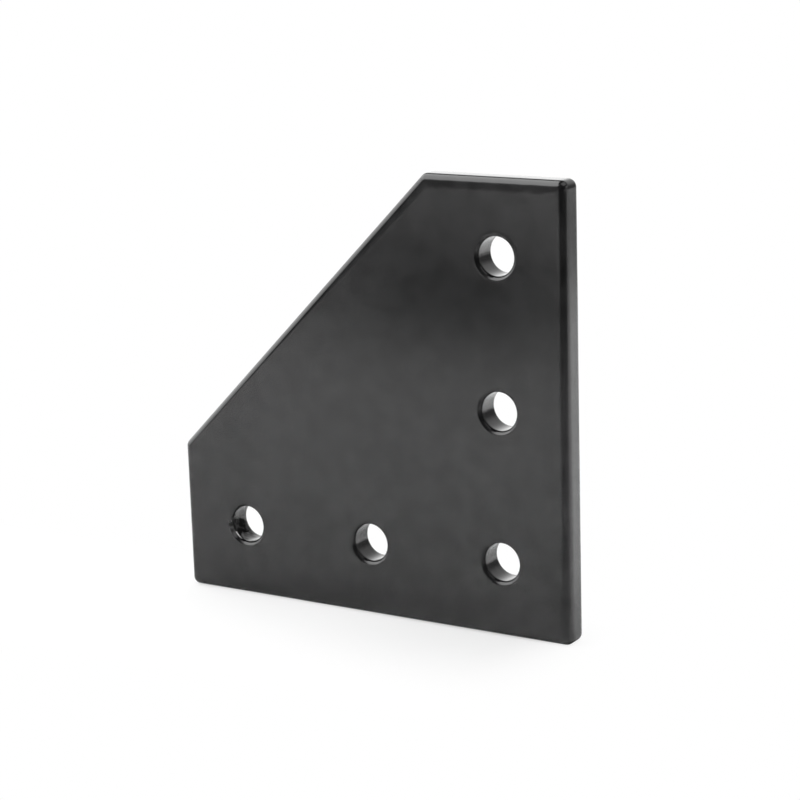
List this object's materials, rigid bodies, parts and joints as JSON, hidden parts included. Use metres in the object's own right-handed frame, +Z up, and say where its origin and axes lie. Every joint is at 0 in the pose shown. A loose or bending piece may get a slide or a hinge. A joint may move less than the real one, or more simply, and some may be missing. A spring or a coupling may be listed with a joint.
{
  "type": "extrusion joining plate",
  "caption": "Flat right-angle plate with a slanted inner edge, rounded outer edges and screw holes along both arms, for joining slotted profiles.",
  "frame": {"origin": "middle of the lower edge, on the plane the plate stands on, halfway between the front and back faces", "axes": "+Z up along the upright arm, +X along the lower edge towards the square corner, +Y from the front face to the back face"},
  "size_m": [0.06, 0.004, 0.06],
  "materials": {
    "black_coated_aluminium": "smooth black coat, satin to semi-gloss"
  },
  "bodies": {
    "root": {"joining_plate": "black_coated_aluminium"}
  },
  "joints": []
}
